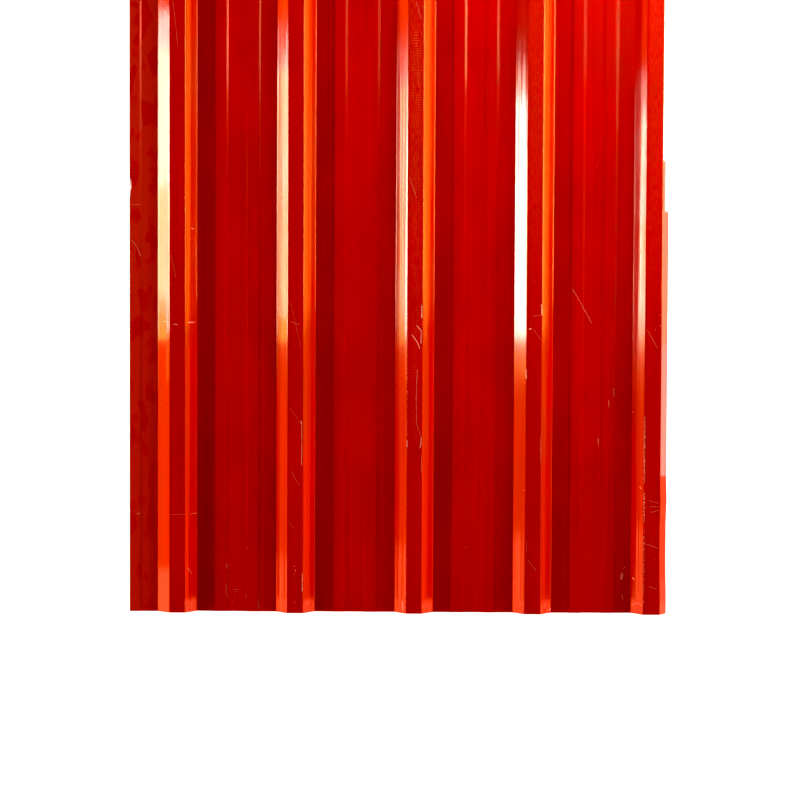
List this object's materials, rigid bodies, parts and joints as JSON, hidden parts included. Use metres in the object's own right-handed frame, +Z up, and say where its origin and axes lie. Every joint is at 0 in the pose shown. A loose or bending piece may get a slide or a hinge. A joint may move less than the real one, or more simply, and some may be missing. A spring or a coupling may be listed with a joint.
{
  "type": "corrugated metal sheet",
  "caption": "Box-rib corrugated roofing sheet in red painted steel, with stiffening beads in its pans, a lap foot on one edge and a free overlap flank on the other.",
  "frame": {"origin": "under the middle of the sheet, level with the underside of its pans", "axes": "+Y along the ribs, +X across them from the lap foot towards the free overlap flank, +Z up out of the ribs"},
  "size_m": [1.1345, 2.44, 0.0255],
  "materials": {
    "coated_steel": "gloss red coil coating"
  },
  "bodies": {
    "root": {"corrugated_sheet": "coated_steel"}
  },
  "joints": []
}
